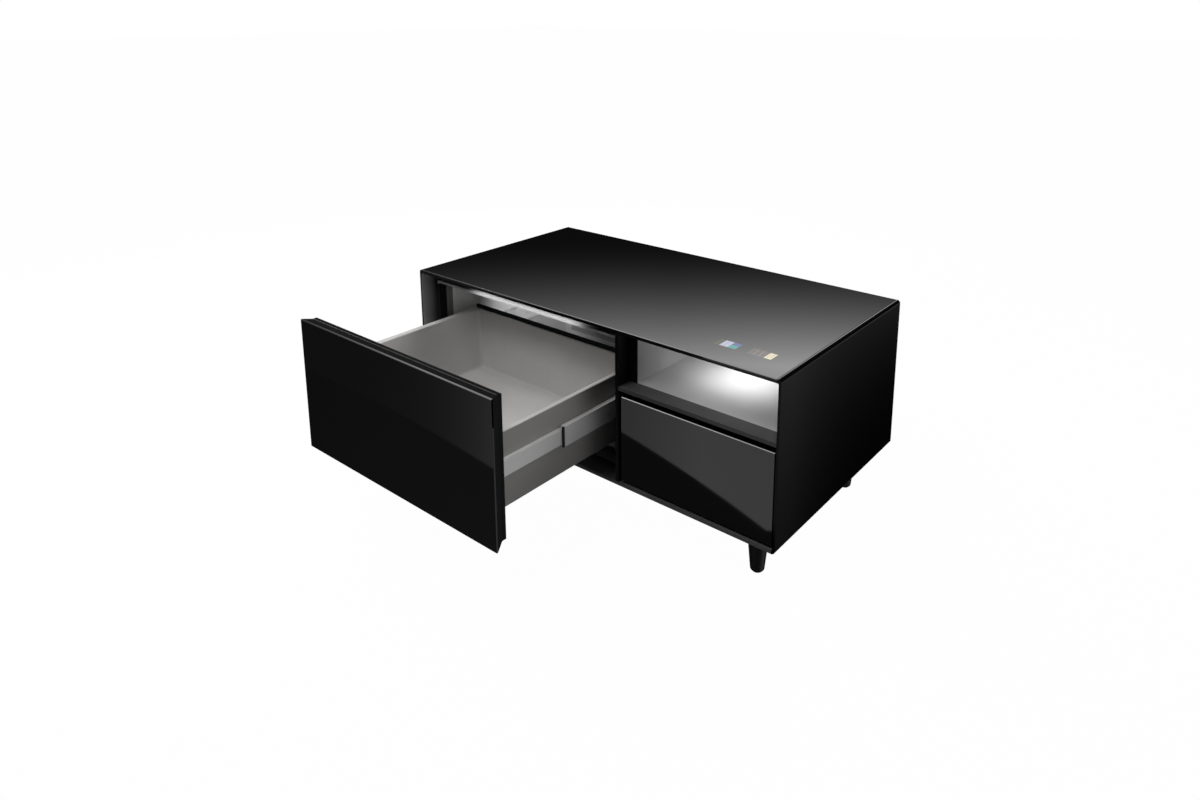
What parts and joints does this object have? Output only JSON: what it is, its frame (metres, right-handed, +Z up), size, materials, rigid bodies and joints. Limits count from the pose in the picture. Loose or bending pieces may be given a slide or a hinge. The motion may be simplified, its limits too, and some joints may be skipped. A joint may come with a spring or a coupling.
{
  "type": "refrigerated coffee table with drawers",
  "caption": "Low refrigerated table on tapered legs: a wide cold drawer on telescopic ball slides, a lit open niche and a storage drawer under a black glass top.",
  "frame": {"origin": "on the ground, at the centre of the bounding box seen from above, with the cold drawer open as at rest", "axes": "+X to the viewer's right along the body's width, +Y from the fronts to the back, +Z up"},
  "size_m": [1.1, 0.936, 0.488],
  "materials": {
    "satin_black_shell": "satin",
    "black_glass": "polished",
    "printed_keys": "satin",
    "circuit_board": "matte",
    "rear_steel": "satin",
    "zinc_steel": "satin",
    "white_liner": "gloss",
    "dark_trim": "satin",
    "foam": "matte",
    "gasket_rubber": "matte",
    "lamp": "gloss",
    "roll_bond_aluminium": "satin",
    "grey_bin": "satin",
    "box_grey": "satin",
    "compressor_enamel": "gloss",
    "fan_plastic": "satin",
    "tray_plastic": "matte",
    "control_housing": "matte",
    "copper": "polished",
    "brass_cage": "satin",
    "leg_black": "satin"
  },
  "bodies": {
    "cabinet": {"left_side_panel": "satin_black_shell", "right_side_panel": "satin_black_shell", "roof_panel": "satin_black_shell", "top_glass": "black_glass", "touch_keys": "printed_keys", "touch_board": "circuit_board", "base_panel": "satin_black_shell", "back_panel": "rear_steel", "rear_grille": "rear_steel", "rear_screws": "zinc_steel", "divider_panel": "satin_black_shell", "cold_liner": "white_liner", "mouth_frame": "dark_trim", "insulation": "foam", "cold_gasket": "gasket_rubber", "cold_lamp": "lamp", "evaporator_plate": "roll_bond_aluminium", "evaporator_cover": "white_liner", "cold_slide_left_fixed": "zinc_steel", "cold_slide_right_fixed": "zinc_steel", "niche_surround": "satin_black_shell", "niche_shelf": "satin_black_shell", "niche_liner": "white_liner", "niche_lamp": "lamp", "small_slide_left_fixed": "zinc_steel", "small_slide_right_fixed": "zinc_steel", "machine_bulkhead": "rear_steel", "compressor_mounts": "gasket_rubber", "compressor": "compressor_enamel", "condenser": "roll_bond_aluminium", "fan_frame": "fan_plastic", "drip_tray": "tray_plastic", "control_box": "control_housing", "copper_pipes": "copper", "power_inlet": "dark_trim", "leg_front_left": "leg_black", "leg_front_right": "leg_black", "leg_back_left": "leg_black", "leg_back_right": "leg_black", "leg_plates": "zinc_steel", "foot_pads": "gasket_rubber"},
    "cold_drawer": {"cold_front_glass": "black_glass", "cold_front_frame": "dark_trim", "cold_front_core": "foam", "cold_front_back": "dark_trim", "cold_bin": "grey_bin", "cold_slide_left_inner": "zinc_steel", "cold_slide_right_inner": "zinc_steel"},
    "cold_slide_middles": {"cold_slide_left_middle": "zinc_steel", "cold_slide_right_middle": "zinc_steel"},
    "cold_outer_cages": {"cold_cages_outer": "brass_cage"},
    "cold_inner_cages": {"cold_cages_inner": "brass_cage"},
    "small_drawer": {"small_front_glass": "black_glass", "small_front_frame": "dark_trim", "small_box": "box_grey", "small_slides_inner": "zinc_steel"},
    "small_slide_middles": {"small_slides_middle": "zinc_steel"},
    "small_outer_cages": {"small_cages_outer": "brass_cage"},
    "small_inner_cages": {"small_cages_inner": "brass_cage"},
    "fan": {"fan_rotor": "fan_plastic"}
  },
  "joints": [
    {"name": "cold_drawer_slide", "type": "slide", "parent": "cabinet", "child": "cold_drawer", "axis": [0, -1, 0], "range_m": [-0.362, 0.078]},
    {"name": "cold_middles_slide", "type": "slide", "parent": "cabinet", "child": "cold_slide_middles", "axis": [0, -1, 0], "range_m": [-0.181, 0.039]},
    {"name": "cold_outer_cages_slide", "type": "slide", "parent": "cabinet", "child": "cold_outer_cages", "axis": [0, -1, 0], "range_m": [-0.0905, 0.0195]},
    {"name": "cold_inner_cages_slide", "type": "slide", "parent": "cabinet", "child": "cold_inner_cages", "axis": [0, -1, 0], "range_m": [-0.2715, 0.0585]},
    {"name": "small_drawer_slide", "type": "slide", "parent": "cabinet", "child": "small_drawer", "axis": [0, -1, 0], "range_m": [0, 0.28]},
    {"name": "small_middles_slide", "type": "slide", "parent": "cabinet", "child": "small_slide_middles", "axis": [0, -1, 0], "range_m": [0, 0.14]},
    {"name": "small_outer_cages_slide", "type": "slide", "parent": "cabinet", "child": "small_outer_cages", "axis": [0, -1, 0], "range_m": [0, 0.07]},
    {"name": "small_inner_cages_slide", "type": "slide", "parent": "cabinet", "child": "small_inner_cages", "axis": [0, -1, 0], "range_m": [0, 0.21]},
    {"name": "fan_spin", "type": "hinge", "parent": "cabinet", "child": "fan", "pos_m": [0.2355, 0.2917, 0.186], "axis": [0, 1, 0], "continuous": true}
  ],
  "couplings": [
    {"joint": "cold_middles_slide", "follows": "cold_drawer_slide", "ratio": 0.5},
    {"joint": "cold_outer_cages_slide", "follows": "cold_drawer_slide", "ratio": 0.25},
    {"joint": "cold_inner_cages_slide", "follows": "cold_drawer_slide", "ratio": 0.75},
    {"joint": "small_middles_slide", "follows": "small_drawer_slide", "ratio": 0.5},
    {"joint": "small_outer_cages_slide", "follows": "small_drawer_slide", "ratio": 0.25},
    {"joint": "small_inner_cages_slide", "follows": "small_drawer_slide", "ratio": 0.75}
  ]
}
